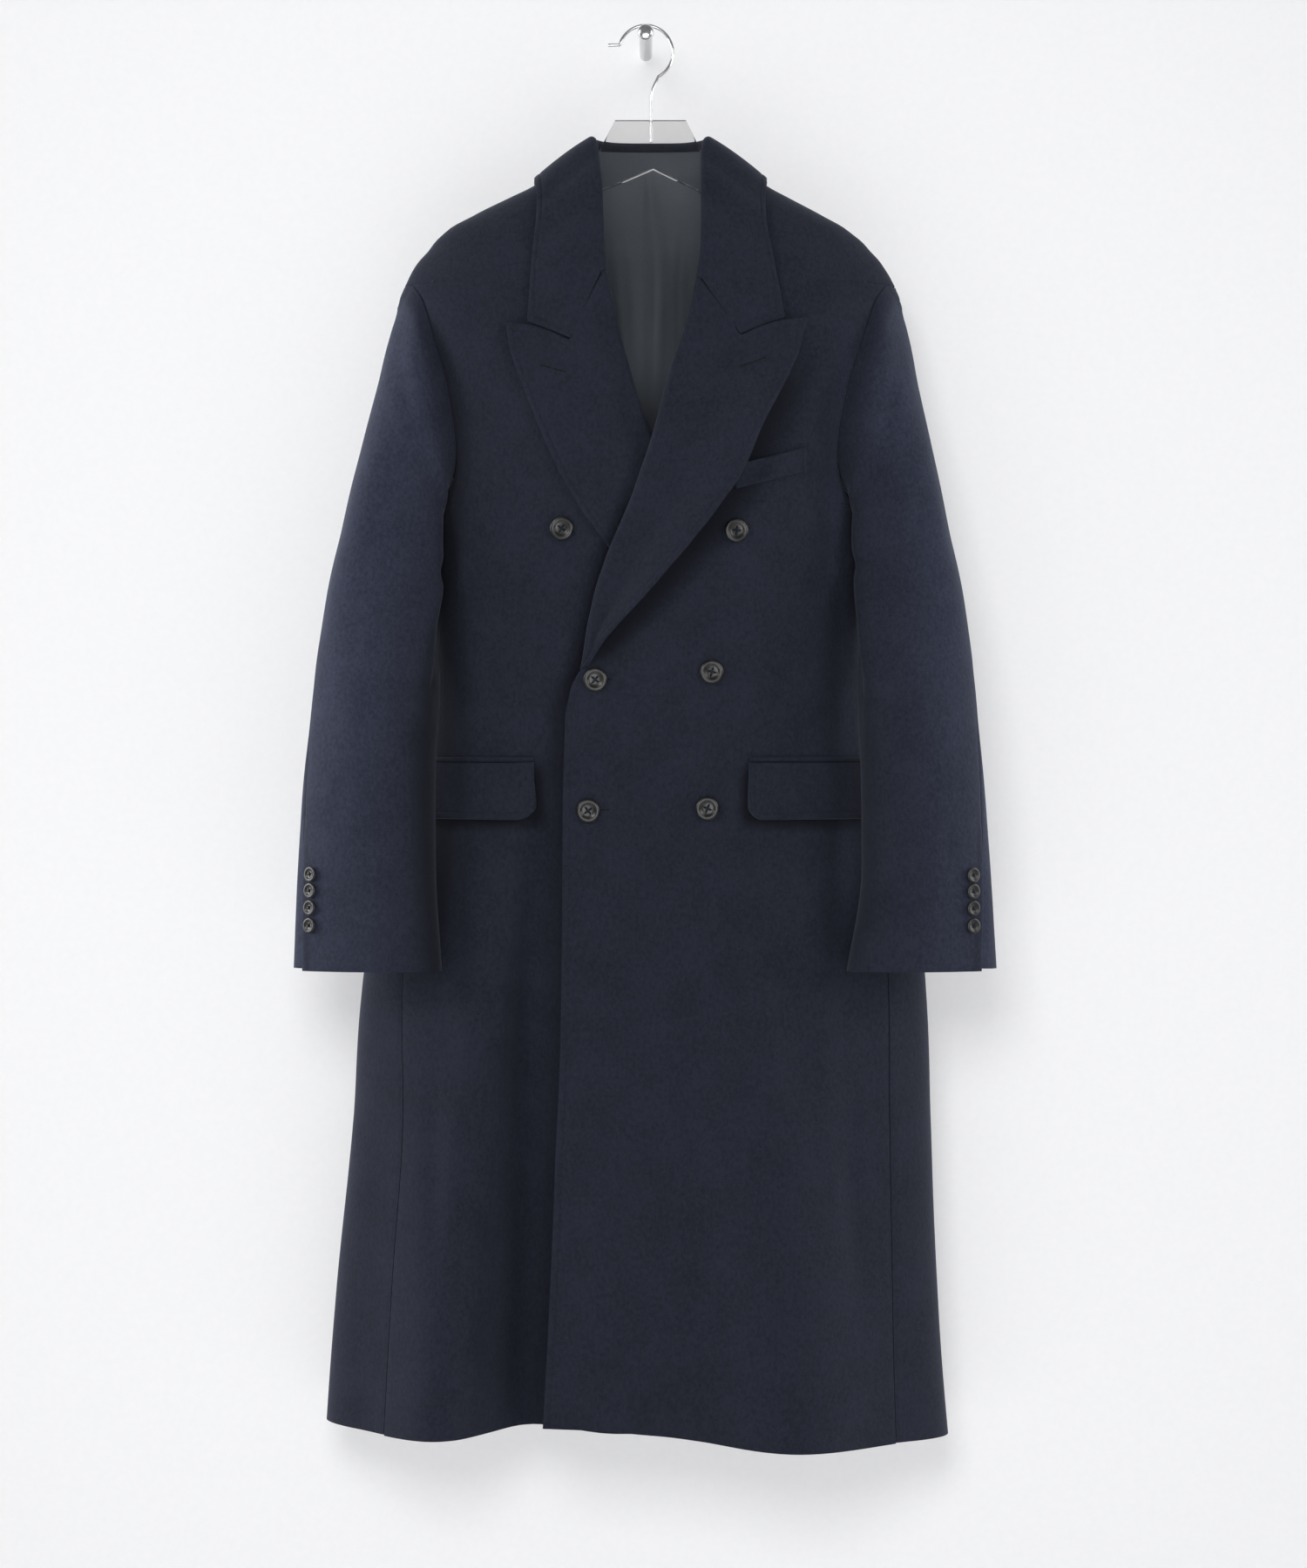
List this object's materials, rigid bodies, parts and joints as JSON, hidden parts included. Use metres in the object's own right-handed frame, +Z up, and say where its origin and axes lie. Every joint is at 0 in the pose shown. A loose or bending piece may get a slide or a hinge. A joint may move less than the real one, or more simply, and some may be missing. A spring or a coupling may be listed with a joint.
{
  "type": "double-breasted chesterfield coat on a hanger",
  "caption": "Long double-breasted wool overcoat with wide peak lapels, flap pockets and buttoned cuffs, hung by its clear hanger's wire hook from a wall peg.",
  "frame": {"origin": "underside of the crown of the hanger's hook, where the hook rests on the wall peg", "axes": "+Z up, -Y out of the coat's front, +X towards the wearer's left"},
  "size_m": [0.6365, 0.191, 1.299],
  "materials": {
    "wool": "napped navy wool",
    "lining": "grey satin lining",
    "button": "dark horn, half gloss",
    "acrylic": "clear acrylic",
    "wire": "polished"
  },
  "bodies": {
    "root": {"front_left_chest": "wool", "front_left_waist": "wool", "front_left_hip": "wool", "front_left_skirt": "wool", "front_right_chest": "wool", "front_right_waist": "wool", "front_right_hip": "wool", "front_right_skirt": "wool", "back_left_chest": "wool", "back_left_waist": "wool", "back_left_hip": "wool", "back_left_skirt": "wool", "back_right_chest": "wool", "back_right_waist": "wool", "back_right_hip": "wool", "back_right_skirt": "wool", "sleeve_top_left_upper": "wool", "sleeve_top_left_elbow": "wool", "sleeve_top_left_cuff": "wool", "sleeve_under_left_upper": "wool", "sleeve_under_left_elbow": "wool", "sleeve_under_left_cuff": "wool", "sleeve_top_right_upper": "wool", "sleeve_top_right_elbow": "wool", "sleeve_top_right_cuff": "wool", "sleeve_under_right_upper": "wool", "sleeve_under_right_elbow": "wool", "sleeve_under_right_cuff": "wool", "collar": "wool", "lapel_left": "wool", "lapel_right": "wool", "flap_left": "wool", "flap_right": "wool", "jet_left": "wool", "jet_right": "wool", "breast_welt": "wool", "lining_back": "lining", "button_front_1": "button", "button_front_2": "button", "button_front_3": "button", "button_front_4": "button", "button_front_5": "button", "button_front_6": "button", "button_cuff_left_1": "button", "button_cuff_left_2": "button", "button_cuff_left_3": "button", "button_cuff_left_4": "button", "button_cuff_right_1": "button", "button_cuff_right_2": "button", "button_cuff_right_3": "button", "button_cuff_right_4": "button", "hanger_plate": "acrylic", "hanger_hook": "wire", "wall_peg": "wire"}
  },
  "joints": []
}
